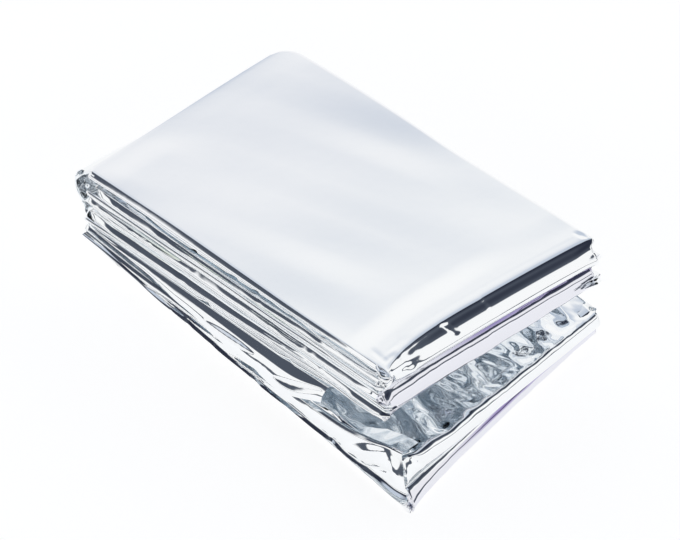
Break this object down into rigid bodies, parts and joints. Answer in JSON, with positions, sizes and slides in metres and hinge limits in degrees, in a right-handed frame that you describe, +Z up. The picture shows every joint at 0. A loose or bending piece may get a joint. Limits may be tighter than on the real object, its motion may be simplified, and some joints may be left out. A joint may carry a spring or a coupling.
{
  "type": "folded emergency blanket",
  "caption": "Metallised film emergency blanket, pleated into a strip and folded in a zigzag into a pocket-size packet that lies partly open at one end.",
  "frame": {"origin": "centre of the folded blanket's footprint, on the surface that it lies on", "axes": "+X along the leaves towards the open end, +Y across the pleats, +Z up through the stack"},
  "size_m": [0.1492, 0.0901, 0.0387],
  "materials": {
    "metallised_film": "bright silver metallised film, creased"
  },
  "bodies": {
    "leaf_1": {"leaf_1": "metallised_film"},
    "leaf_2": {"leaf_2": "metallised_film", "crease_1_film": "metallised_film"},
    "leaf_3": {"leaf_3": "metallised_film", "crease_2_film": "metallised_film"},
    "leaf_4": {"leaf_4": "metallised_film", "crease_3_film": "metallised_film", "crease_4_film": "metallised_film"},
    "leaf_5": {"leaf_5": "metallised_film", "crease_5_film": "metallised_film"},
    "leaf_6": {"leaf_6": "metallised_film", "crease_6_film": "metallised_film"},
    "leaf_7": {"leaf_7": "metallised_film", "crease_7_film": "metallised_film"},
    "leaf_8": {"leaf_8": "metallised_film"}
  },
  "joints": [
    {"name": "crease_1", "type": "hinge", "parent": "leaf_2", "child": "leaf_1", "pos_m": [0.0621, -0.00025, 0.00295], "axis": [0.2129, -0.9771, 0], "range_deg": [0, 180], "deforming": ["crease_1_film"]},
    {"name": "crease_2", "type": "hinge", "parent": "leaf_3", "child": "leaf_2", "pos_m": [-0.07015, 0.003, 0.00605], "axis": [0, 1, 0], "range_deg": [0, 180], "deforming": ["crease_2_film"]},
    {"name": "crease_3", "type": "hinge", "parent": "leaf_4", "child": "leaf_3", "pos_m": [0.06085, -0.0005, 0.00915], "axis": [0.1382, -0.9904, 0], "range_deg": [0, 180], "deforming": ["crease_3_film"]},
    {"name": "crease_4", "type": "hinge", "parent": "leaf_4", "child": "leaf_5", "pos_m": [-0.07015, 0, 0.01225], "axis": [0, -1, 0], "range_deg": [-4, 175], "stiffness_Nm_per_rad": 0.05, "springref_deg": 18.45, "deforming": ["crease_4_film"]},
    {"name": "crease_5", "type": "hinge", "parent": "leaf_5", "child": "leaf_6", "pos_m": [0.06012, 0, 0.02662], "axis": [0, 1, 0], "range_deg": [0, 180], "deforming": ["crease_5_film"]},
    {"name": "crease_6", "type": "hinge", "parent": "leaf_6", "child": "leaf_7", "pos_m": [-0.07079, 0, 0.02042], "axis": [0, -1, 0], "range_deg": [0, 180], "deforming": ["crease_6_film"]},
    {"name": "crease_7", "type": "hinge", "parent": "leaf_7", "child": "leaf_8", "pos_m": [0.05948, 0, 0.03479], "axis": [0, 1, 0], "range_deg": [0, 180], "deforming": ["crease_7_film"]}
  ]
}
